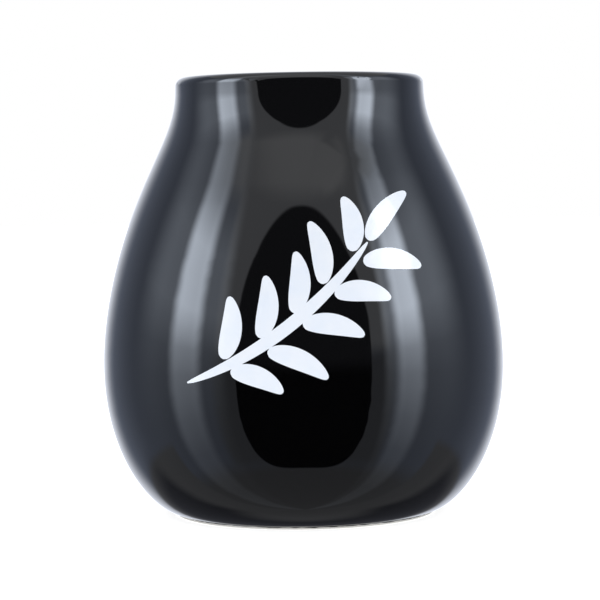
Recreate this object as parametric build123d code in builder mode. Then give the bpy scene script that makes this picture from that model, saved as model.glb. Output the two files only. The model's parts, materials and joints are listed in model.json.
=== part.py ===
from build123d import *
from math import sqrt
import os

# Ceramic mate cup, slip-cast in one piece: a low round belly, nearly straight shoulders, a short
# upright neck with a rolled lip, and a bare foot ring. Sizes are in millimetres. +Z is up, the axis
# of the cup is Z, and the origin is on the table, under the middle of the foot.

# Driving dimensions
cup_height = 100.0
wall = 4.0  # the same all over, as slip casting leaves it

foot_radius = 29.8  # outer edge of the ring that the cup stands on
foot_height = 0.6  # upright edge of the ring, up to where the belly springs from it
foot_width = 3.8
foot_rise = 1.2  # how far the bottom inside the ring stays off the table
foot_flare = 80.0  # lean of the belly from upright, in degrees, where it leaves the ring
foot_pull = 6.1  # how far it keeps that lean before it turns up

belly_radius = 45.9  # the widest point
belly_height = 34.3
belly_round = 62.7  # radius of the side's curve at the widest point, the same above and below

neck_radius = 28.4
neck_drop = 15.3  # below the lip: where the neck's upright line and the shoulder's line would meet
shoulder_drop = 18.0  # lower end of the bend between them, below the lip
shoulder_spread = 7.1  # and outside the neck

edge_round = 0.3  # soft edges of the foot ring
wall_stations = 7  # places on each half of the side that carry the wall over to the inside

# Levels and places that follow from them
lip_radius = wall / 2  # a full round
lip_height = cup_height - lip_radius
floor_height = foot_rise + wall
floor_radius = foot_radius - 2 * wall  # flat part of the floor
recess_radius = foot_radius - foot_width
shoulder_radius = neck_radius + shoulder_spread


def side_handle(degree, inset):
    """Length of the upright handle that gives the belly its round, for a curve that moves in by inset."""
    return sqrt((degree - 1) / degree * inset * belly_round)


def moved_in(line):
    """Points along a line drawn upwards on the right of the axis, each moved in square to it by the wall."""
    for i in range(1, wall_stations):
        along = line % (i / wall_stations)
        yield line @ (i / wall_stations) + Vector(-along.Y, along.X) * wall


with BuildPart() as cup:
    with BuildSketch(Plane.XZ) as section:
        with BuildLine() as outline:
            spring = Vector(foot_radius, foot_height)
            heel = spring + Vector(foot_pull, 0).rotate(Axis.Z, 90 - foot_flare)
            lower_side = Bezier(
                spring,
                heel,
                (belly_radius, belly_height - side_handle(3, belly_radius - heel.X)),
                (belly_radius, belly_height),
            )
            upper_side = Bezier(
                lower_side @ 1,
                (belly_radius, belly_height + side_handle(4, belly_radius - shoulder_radius)),
                (shoulder_radius, cup_height - shoulder_drop),
                (neck_radius, cup_height - neck_drop),
                (neck_radius, lip_height),
            )
            lip = ThreePointArc(
                upper_side @ 1,
                (neck_radius - lip_radius, cup_height),
                (neck_radius - wall, lip_height),
            )
            inside = Spline(
                (floor_radius, floor_height),
                *moved_in(lower_side),
                (belly_radius - wall, belly_height),
                *moved_in(upper_side),
                lip @ 1,
                tangents=((1, 0), (0, 1)),
                tangent_scalars=(1, 1),
            )
            Polyline(
                inside @ 0,
                (0, floor_height),
                (0, foot_rise),
                (recess_radius, foot_rise),
                (recess_radius, 0),
                (foot_radius, 0),
                spring,
            )
        make_face()
        fillet(section.vertices().group_by(Axis.Y)[0], edge_round)
    revolve(axis=Axis.Z)
cup.part.label = "cup"

os.makedirs("parts", exist_ok=True)
export_step(cup.part, "parts/cup.step")
print("volume", round(cup.part.volume / 1000, 1), "cm3")
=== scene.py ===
import json
import math

import bpy
from mathutils import Matrix, Vector

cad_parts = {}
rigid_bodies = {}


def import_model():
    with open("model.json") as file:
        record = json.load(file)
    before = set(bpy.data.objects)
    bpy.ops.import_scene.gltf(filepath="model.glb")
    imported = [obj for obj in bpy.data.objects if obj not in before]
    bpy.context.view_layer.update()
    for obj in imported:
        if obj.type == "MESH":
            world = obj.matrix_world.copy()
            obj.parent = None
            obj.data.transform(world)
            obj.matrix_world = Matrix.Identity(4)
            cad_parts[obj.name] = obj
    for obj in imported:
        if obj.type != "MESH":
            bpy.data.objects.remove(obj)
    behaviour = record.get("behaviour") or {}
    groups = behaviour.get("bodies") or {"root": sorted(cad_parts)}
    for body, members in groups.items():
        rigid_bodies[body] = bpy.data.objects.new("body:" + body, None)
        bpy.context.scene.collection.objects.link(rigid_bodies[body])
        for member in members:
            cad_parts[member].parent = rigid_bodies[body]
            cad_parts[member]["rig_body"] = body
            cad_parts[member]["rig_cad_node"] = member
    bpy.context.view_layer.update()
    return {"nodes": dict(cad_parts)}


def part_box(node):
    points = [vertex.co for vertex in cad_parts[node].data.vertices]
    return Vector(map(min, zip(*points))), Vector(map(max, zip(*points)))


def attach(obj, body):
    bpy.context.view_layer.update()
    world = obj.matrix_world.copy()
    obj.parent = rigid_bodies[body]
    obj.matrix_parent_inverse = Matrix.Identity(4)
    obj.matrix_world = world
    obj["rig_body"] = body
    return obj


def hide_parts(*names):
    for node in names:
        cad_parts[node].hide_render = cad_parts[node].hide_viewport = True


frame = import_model()
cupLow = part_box("cup")[0]
mm = 0.001


def linearColour(hexColour, alpha=1.0):
    parts = [int(hexColour[i:i + 2], 16) / 255 for i in (1, 3, 5)]
    return [p / 12.92 if p <= 0.04045 else ((p + 0.055) / 1.055) ** 2.4 for p in parts] + [alpha]


def addNode(tree, kind, settings=None, links=None):
    node = tree.nodes.new(kind)
    for name, value in (settings or {}).items():
        if isinstance(name, str) and hasattr(node, name):
            setattr(node, name, value)
        else:
            node.inputs[name].default_value = value
    for name, socket in (links or {}).items():
        tree.links.new(socket, node.inputs[name])
    return node


def startMaterial(name):
    material = bpy.data.materials.new(name)
    material.use_nodes = True
    material.node_tree.nodes.clear()
    return material, material.node_tree


def deselectAll():
    if bpy.context.object and bpy.context.object.mode != "OBJECT":
        bpy.ops.object.mode_set(mode="OBJECT")
    bpy.ops.object.select_all(action="DESELECT")


def pick(piece):
    deselectAll()
    piece.select_set(True)
    bpy.context.view_layer.objects.active = piece


def applyModifier(piece, name, kind, **settings):
    pick(piece)
    modifier = piece.modifiers.new(name, kind)
    for key, value in settings.items():
        setattr(modifier, key, value)
    bpy.ops.object.modifier_apply(modifier=name)


# Black glaze over white slip-cast ceramic
glaze = dict(
    colour="#040405",        # near black, with nothing showing through
    roughness=0.03,          # a mirror-smooth fired gloss
    ior=1.5,
    waveMm=22,               # long, shallow unevenness of a dipped glaze
    waveHeightMm=0.15,
    waveStrength=0.35,
    bareColour="#f6f5f1",    # wiped foot ring
    bareRoughness=0.75,
    bareHeightMm=0.5,
    bareRaggedMm=0.18,       # the glaze line wanders this much
    raggedMm=2.5,            # and this far along the ring between its turns
    grainMm=0.6,             # dry grain of the unglazed ring
    grainHeightMm=0.05,
    grainStrength=0.4,
    smoothAngle=50,
    mergeMm=0.001,           # corners of the CAD triangles nearer than this become one
)


def glazeMaterial():
    # Dipped gloss glaze: deep black with clear reflections that swim a little, and a dry pale foot.
    material, tree = startMaterial("black_gloss_glaze")
    place = addNode(tree, "ShaderNodeTexCoord")
    waves = addNode(tree, "ShaderNodeTexNoise", {"Scale": 1 / (glaze["waveMm"] * mm), "Detail": 0.5},
                    {"Vector": place.outputs["Object"]})
    swim = addNode(tree, "ShaderNodeBump",
                   {"Strength": glaze["waveStrength"], "Distance": glaze["waveHeightMm"] * mm},
                   {"Height": waves.outputs["Fac"]})
    black = addNode(tree, "ShaderNodeBsdfPrincipled",
                    {"Base Color": linearColour(glaze["colour"]), "Roughness": glaze["roughness"],
                     "IOR": glaze["ior"]},
                    {"Normal": swim.outputs["Normal"]})
    grain = addNode(tree, "ShaderNodeTexNoise", {"Scale": 1 / (glaze["grainMm"] * mm), "Detail": 3.0},
                    {"Vector": place.outputs["Object"]})
    dry = addNode(tree, "ShaderNodeBump",
                  {"Strength": glaze["grainStrength"], "Distance": glaze["grainHeightMm"] * mm},
                  {"Height": grain.outputs["Fac"]})
    bare = addNode(tree, "ShaderNodeBsdfPrincipled",
                   {"Base Color": linearColour(glaze["bareColour"]), "Roughness": glaze["bareRoughness"]},
                   {"Normal": dry.outputs["Normal"]})
    split = addNode(tree, "ShaderNodeSeparateXYZ", {}, {0: place.outputs["Object"]})
    ragged = addNode(tree, "ShaderNodeTexNoise", {"Scale": 1 / (glaze["raggedMm"] * mm), "Detail": 2.0},
                     {"Vector": place.outputs["Object"]})
    line = addNode(tree, "ShaderNodeMath",
                   {"operation": "MULTIPLY_ADD", 1: glaze["bareRaggedMm"] * mm * 2,
                    2: (glaze["bareHeightMm"] - glaze["bareRaggedMm"]) * mm},
                   {0: ragged.outputs["Fac"]})
    glazed = addNode(tree, "ShaderNodeMath", {"operation": "GREATER_THAN"},
                     {0: split.outputs["Z"], 1: line.outputs[0]})
    both = addNode(tree, "ShaderNodeMixShader", {},
                   {0: glazed.outputs[0], 1: bare.outputs[0], 2: black.outputs[0]})
    addNode(tree, "ShaderNodeOutputMaterial", {}, {"Surface": both.outputs[0]})
    return material


def makeCup():
    # The cast body: the CAD shape, its triangles joined so that light runs smoothly over it.
    pick(frame["nodes"]["cup"])
    bpy.ops.object.duplicate()
    body = bpy.context.object
    body.name = "cup_body"
    pick(body)
    bpy.ops.object.mode_set(mode="EDIT")
    bpy.ops.mesh.select_all(action="SELECT")
    bpy.ops.mesh.remove_doubles(threshold=glaze["mergeMm"] * mm)
    bpy.ops.mesh.normals_make_consistent(inside=False)
    bpy.ops.object.mode_set(mode="OBJECT")
    if body.data.attributes.get("custom_normal"):
        bpy.ops.mesh.customdata_custom_splitnormals_clear()
    bpy.ops.object.shade_smooth_by_angle(angle=math.radians(glaze["smoothAngle"]))
    body.data.materials.clear()
    body.data.materials.append(glazeMaterial())
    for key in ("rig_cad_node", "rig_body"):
        if key in body:
            del body[key]
    return body


# Printed sprig on the front: a slanting stem with brushed leaves, white, fired over the glaze.
# Places on the front are millimetres to the right of the middle and up from the table.
sprig = dict(
    colour="#f4f8ff",
    thinColour="#e6f0ff",    # where the fired colour lies thinner
    patchMm=4.545,           # the thinner places are about this wide
    roughness=0.12,
    ior=1.5,
    proudMm=0.03,            # thickness of the fired colour
    overlapMm=0.003,         # each stroke stands this much over the one before
    stemFrom=(-25.0, 33.5), stemTo=(14.0, 63.0), stemBend=-3.5, stemWidth=2.8, stemFullness=1.0,
    leafPairs=5, firstLeaf=0.16, leafRun=0.74,      # where the pairs stand, as shares of the stem
    leafLength=13.6, leafWidth=4.5, leafBend=1.3, leafFullness=0.8, leafGap=2.2,
    leafAngle=52.0, angleSway=5,                    # leaves differ a little, as brushed ones do
    lengthSway=0.06, longestAt=0.45, shorterAway=0.28,
    topLeafGap=0.5, topLeafBend=1.0,
    endWidth=0.12, swellPower=0.6,                  # a stroke's ends, as a share of its full width
    steps=40, across=8,
    smoothAngle=40,
    startMm=5,               # the strokes are drawn on a flat sheet this far in front of the cup
)


def strokePoint(start, end, bend, t):
    # A stroke bows to one side of the straight way from start to end.
    along = Vector(end) - Vector(start)
    side = Vector((-along.y, along.x)).normalized()
    middle = (Vector(start) + Vector(end)) / 2 + side * bend * 2
    return Vector(start) * (1 - t) ** 2 + middle * 2 * t * (1 - t) + Vector(end) * t ** 2


def paintStroke(start, end, bend, width, fullness):
    # A flat strip that swells and thins as a loaded brush does.
    deselectAll()
    bpy.ops.mesh.primitive_grid_add(x_subdivisions=sprig["steps"], y_subdivisions=sprig["across"], size=2)
    stroke = bpy.context.object
    for vertex in stroke.data.vertices:
        t = (vertex.co.x + 1) / 2
        here = strokePoint(start, end, bend, t)
        justBefore = strokePoint(start, end, bend, max(0, t - 0.01))
        ahead = strokePoint(start, end, bend, min(1, t + 0.01)) - justBefore
        side = Vector((-ahead.y, ahead.x)).normalized()
        swell = max(0.0, math.sin(math.pi * t ** fullness)) ** sprig["swellPower"]
        share = sprig["endWidth"] + (1 - sprig["endWidth"]) * swell
        spot = here + side * vertex.co.y * width / 2 * share
        vertex.co = (spot.x * mm, cupLow.y - sprig["startMm"] * mm, spot.y * mm)
    return stroke


def printMaterial():
    # Fired white enamel print: opaque, cool white, as glossy as the glaze round it.
    material, tree = startMaterial("fired_white_enamel")
    place = addNode(tree, "ShaderNodeTexCoord")
    patches = addNode(tree, "ShaderNodeTexNoise", {"Scale": 1 / (sprig["patchMm"] * mm), "Detail": 2.0},
                      {"Vector": place.outputs["Object"]})
    tone = addNode(tree, "ShaderNodeValToRGB", {}, {0: patches.outputs["Fac"]})
    tone.color_ramp.elements[0].color = linearColour(sprig["thinColour"])
    tone.color_ramp.elements[1].color = linearColour(sprig["colour"])
    enamel = addNode(tree, "ShaderNodeBsdfPrincipled", {"Roughness": sprig["roughness"], "IOR": sprig["ior"]},
                     {"Base Color": tone.outputs[0]})
    addNode(tree, "ShaderNodeOutputMaterial", {}, {"Surface": enamel.outputs[0]})
    return material


def makeSprig(body):
    stem = (sprig["stemFrom"], sprig["stemTo"], sprig["stemBend"])
    strokes = [paintStroke(*stem, sprig["stemWidth"], sprig["stemFullness"])]
    for i in range(sprig["leafPairs"]):
        t = sprig["firstLeaf"] + sprig["leafRun"] * i / (sprig["leafPairs"] - 1)
        root = strokePoint(*stem, t)
        ahead = strokePoint(*stem, t + 0.02) - root
        heading = math.atan2(ahead.y, ahead.x)
        for hand in (-1, 1):
            angle = sprig["leafAngle"] + sprig["angleSway"] * math.sin(2.3 * i + hand)
            turn = heading + hand * math.radians(angle)
            length = (sprig["leafLength"] * (1 - sprig["shorterAway"] * abs(t - sprig["longestAt"]))
                      * (1 + sprig["lengthSway"] * math.sin(4.1 * i + 2 * hand)))
            way = Vector((math.cos(turn), math.sin(turn)))
            start = root + way * sprig["leafGap"]
            strokes.append(paintStroke(start, start + way * length, -hand * sprig["leafBend"],
                                       sprig["leafWidth"], sprig["leafFullness"]))
    tip = Vector(sprig["stemTo"])
    onward = ahead.normalized()                     # the top leaf goes on from the last pair
    strokes.append(paintStroke(tip + onward * sprig["topLeafGap"], tip + onward * sprig["leafLength"],
                               sprig["topLeafBend"], sprig["leafWidth"], sprig["leafFullness"]))
    for i, stroke in enumerate(strokes):
        applyModifier(stroke, "wrap", "SHRINKWRAP", target=body, wrap_method="PROJECT", use_project_y=True,
                      use_negative_direction=True, use_positive_direction=True,
                      offset=i * sprig["overlapMm"] * mm)
    deselectAll()
    for stroke in strokes:
        stroke.select_set(True)
    bpy.context.view_layer.objects.active = strokes[0]
    bpy.ops.object.join()
    ornament = strokes[0]
    ornament.name = "printed_sprig"
    ornament.location = (0, 0, 0)
    applyModifier(ornament, "body", "SOLIDIFY", thickness=sprig["proudMm"] * mm * 2, offset=0)
    pick(ornament)
    bpy.ops.object.shade_smooth_by_angle(angle=math.radians(sprig["smoothAngle"]))
    ornament.data.materials.clear()
    ornament.data.materials.append(printMaterial())
    return ornament


# The studio that the glaze mirrors, by direction: degrees round from the front, and up from level.
# Only mirror reflections see it: matt surfaces get an even light, and the backdrop is plain white.
studio = dict(
    diffuseLevel=0.9,        # plain light that falls on matt surfaces
    tent=("#d6e3ff", 0.58),  # cool white side walls
    # walls, ceiling and table: middle and half width round, low and high edge, softness, colour, strength
    patches=[
        (180, 32, -90, 90, 22, "#eef3ff", 1.35),    # white sweep behind
        (0, 180, 43, 90, 4, "#f4f8ff", 0.85),       # ceiling
        (-20, 62, 43, 90, 12, "#f4f6fa", 1.4),      # its lit front half
        (0, 50, 4, 46, 6, "#f1f4fb", 0.95),         # wall over and beside the opening
        (0, 180, -90, -46, 14, "#f0f2f8", 0.36),    # table
        (180, 88, -90, -28, 4, "#eef0f6", 0.42),    # its edge at the sides
        (180, 62, -66, -30, 16, "#e7ebff", 0.14),   # the cup's own shade on the table behind it
        (0, 52, -46, 4, 8, "#e8edf8", 0.38),        # dim card under the opening
    ],
    # strip lamps and their glow on the walls: middle and half width round, softness, strength
    lamps=[
        (-71, 9.5, 8, 8.4), (-55, 9, 9, 1.5), (-88, 16, 24, 1.4),
        (63.5, 8, 8, 10.0), (52.5, 5.5, 5, 2.6), (80, 18, 26, 1.9),
    ],
    lampColour="#e7f1ff",
    lampFade=[(-60, 0.02), (-36, 0.05), (-20, 0.12), (-4, 0.24), (4, 0.4), (14, 1.0), (28, 1.0),
              (38, 0.42), (46, 0.08)],              # how bright a lamp looks, by height
    # dark gap in front of the cup: an arch above its middle, a rounded box below, darker below level
    opening=dict(halfWidth=38.5, middle=10.0, archHeight=33.5, archSquareness=2.1, boxHeight=60.0,
                 boxSquareness=4.0, colour="#eef2ff", below=0.004, above=0.085, softness=0.08,
                 levelSoftness=8),
)


def makeWorld():
    world = bpy.data.worlds.new("studio")
    bpy.context.scene.world = world
    world.use_nodes = True
    tree = world.node_tree
    tree.nodes.clear()

    def maths(operation, *values):
        numbers = {i: v for i, v in enumerate(values) if isinstance(v, (int, float))}
        sockets = {i: v for i, v in enumerate(values) if not isinstance(v, (int, float))}
        return addNode(tree, "ShaderNodeMath", {"operation": operation, **numbers}, sockets).outputs[0]

    def edge(distance, soft):
        # 1 where distance is above 0, 0 below, smooth between
        return addNode(tree, "ShaderNodeMapRange",
                       {"interpolation_type": "SMOOTHSTEP", "From Min": -soft / 2, "From Max": soft / 2},
                       {"Value": distance}).outputs["Result"]

    def strengthened(hexColour, strength):
        return [c * strength for c in linearColour(hexColour)[:3]] + [1]

    def flatColour(hexColour, strength):
        socket = addNode(tree, "ShaderNodeRGB").outputs[0]
        socket.default_value = strengthened(hexColour, strength)
        return socket

    def lay(colour, mask, top, blend="MIX"):
        settings = {"data_type": "RGBA", "blend_type": blend}
        sockets = {"Factor": mask, 6: colour}       # 6 and 7 are the two colours of a Mix node
        (settings if isinstance(top, list) else sockets)[7] = top
        return addNode(tree, "ShaderNodeMix", settings, sockets).outputs[2]

    place = addNode(tree, "ShaderNodeTexCoord")
    split = addNode(tree, "ShaderNodeSeparateXYZ", {}, {0: place.outputs["Generated"]})
    x, y, z = (split.outputs[i] for i in range(3))
    around = maths("DEGREES", maths("ARCTAN2", x, maths("MULTIPLY", y, -1)))
    up = maths("DEGREES", maths("ARCSINE", z))

    def awayFrom(middle):
        return maths("ABSOLUTE", maths("WRAP", maths("SUBTRACT", around, middle), 180.0, -180.0))

    colour = flatColour(*studio["tent"])
    for middle, half, low, high, soft, hexColour, strength in studio["patches"]:
        # an edge that goes all the way round or to a pole is moved past it, so that it doesn't fade
        sideEdge = edge(maths("SUBTRACT", half + (soft if half >= 180 else 0), awayFrom(middle)), soft)
        lowEdge = edge(maths("SUBTRACT", up, low - (soft if low <= -90 else 0)), soft)
        highEdge = edge(maths("SUBTRACT", high + (soft if high >= 90 else 0), up), soft)
        mask = maths("MULTIPLY", sideEdge, maths("MULTIPLY", lowEdge, highEdge))
        colour = lay(colour, mask, strengthened(hexColour, strength))

    fade = addNode(tree, "ShaderNodeValToRGB", {}, {0: maths("MULTIPLY_ADD", up, 1 / 180, 0.5)})
    stops = fade.color_ramp.elements
    while len(stops) < len(studio["lampFade"]):
        stops.new(0.5)
    for stop, (height, level) in zip(stops, studio["lampFade"]):
        stop.position = height / 180 + 0.5
        stop.color = (level, level, level, 1)
    for middle, half, soft, strength in studio["lamps"]:
        lit = maths("MULTIPLY", edge(maths("SUBTRACT", half, awayFrom(middle)), soft), fade.outputs[0])
        colour = lay(colour, lit, strengthened(studio["lampColour"], strength), "ADD")

    gap = studio["opening"]

    def within(height, squareness):
        across = maths("POWER", maths("DIVIDE", awayFrom(0.0), gap["halfWidth"]), squareness)
        away = maths("ABSOLUTE", maths("SUBTRACT", up, gap["middle"]))
        upright = maths("POWER", maths("DIVIDE", away, height), squareness)
        return maths("SUBTRACT", 1.0, maths("ADD", across, upright))

    arch = within(gap["archHeight"], gap["archSquareness"])
    box = within(gap["boxHeight"], gap["boxSquareness"])
    isUpper = maths("GREATER_THAN", up, gap["middle"])
    shape = maths("ADD", maths("MULTIPLY", arch, isUpper),
                  maths("MULTIPLY", box, maths("SUBTRACT", 1.0, isUpper)))
    dark = lay(flatColour(gap["colour"], gap["below"]), edge(up, gap["levelSoftness"]),
               strengthened(gap["colour"], gap["above"]))
    colour = lay(colour, edge(shape, gap["softness"]), dark)

    mirrored = addNode(tree, "ShaderNodeBackground", {}, {"Color": colour})
    even = addNode(tree, "ShaderNodeBackground", {"Color": (1, 1, 1, 1), "Strength": studio["diffuseLevel"]})
    plain = addNode(tree, "ShaderNodeBackground", {"Color": (1, 1, 1, 1)})
    path = addNode(tree, "ShaderNodeLightPath")
    light = addNode(tree, "ShaderNodeMixShader", {},
                    {0: path.outputs["Is Glossy Ray"], 1: even.outputs[0], 2: mirrored.outputs[0]})
    seen = maths("MAXIMUM", path.outputs["Is Camera Ray"], path.outputs["Is Transmission Ray"])
    both = addNode(tree, "ShaderNodeMixShader", {}, {0: seen, 1: light.outputs[0], 2: plain.outputs[0]})
    addNode(tree, "ShaderNodeOutputWorld", {}, {"Surface": both.outputs[0]})


# White table, kept out of mirror reflections because the studio has its own table
table = dict(
    colour="#f4f4f4",
    size=6,
    seenGlow=0.8,            # takes the table up to the white of the backdrop, and keeps the shadow
    returnedGlow=0.5,        # what it sends back to matt surfaces, such as the bare foot
)


def makeFloor():
    bpy.ops.mesh.primitive_plane_add(size=table["size"], location=(0, 0, 0))
    floor = bpy.context.object
    floor.name = "floor"
    material, tree = startMaterial("white_table")
    diffuse = addNode(tree, "ShaderNodeBsdfDiffuse", {"Color": linearColour(table["colour"])})
    path = addNode(tree, "ShaderNodeLightPath")
    returned = addNode(tree, "ShaderNodeMath", {"operation": "MULTIPLY", 1: table["returnedGlow"]},
                       {0: path.outputs["Is Diffuse Ray"]})
    share = addNode(tree, "ShaderNodeMath", {"operation": "MULTIPLY_ADD", 1: table["seenGlow"]},
                    {0: path.outputs["Is Camera Ray"], 2: returned.outputs[0]})
    glow = addNode(tree, "ShaderNodeEmission", {"Color": (1, 1, 1, 1)}, {"Strength": share.outputs[0]})
    both = addNode(tree, "ShaderNodeAddShader", {}, {0: diffuse.outputs[0], 1: glow.outputs[0]})
    addNode(tree, "ShaderNodeOutputMaterial", {}, {"Surface": both.outputs[0]})
    floor.data.materials.append(material)
    floor.visible_glossy = False


# Camera in front of the cup: metres from its axis and above the table, degrees down and of roll
view = dict(distance=0.5363, height=0.0785, side=-0.0006, down=3.177, roll=-0.9, lens=139.95,
            sensorWidth=36, nearest=0.01)


def makeCamera():
    bpy.ops.object.camera_add(location=(view["side"], -view["distance"], view["height"]))
    camera = bpy.context.object
    camera.data.lens = view["lens"]
    camera.data.sensor_width = view["sensorWidth"]
    camera.data.clip_start = view["nearest"]
    camera.rotation_euler = (Matrix.Rotation(math.radians(90 - view["down"]), 3, "X")
                             @ Matrix.Rotation(math.radians(view["roll"]), 3, "Z")).to_euler()
    bpy.context.scene.camera = camera


body = makeCup()
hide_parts("cup")
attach(body, "root")
print("cup made")
ornament = makeSprig(body)
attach(ornament, "root")
print("print made")
makeWorld()
makeFloor()
makeCamera()
bpy.context.scene.view_settings.view_transform = "Standard"
print("studio made")
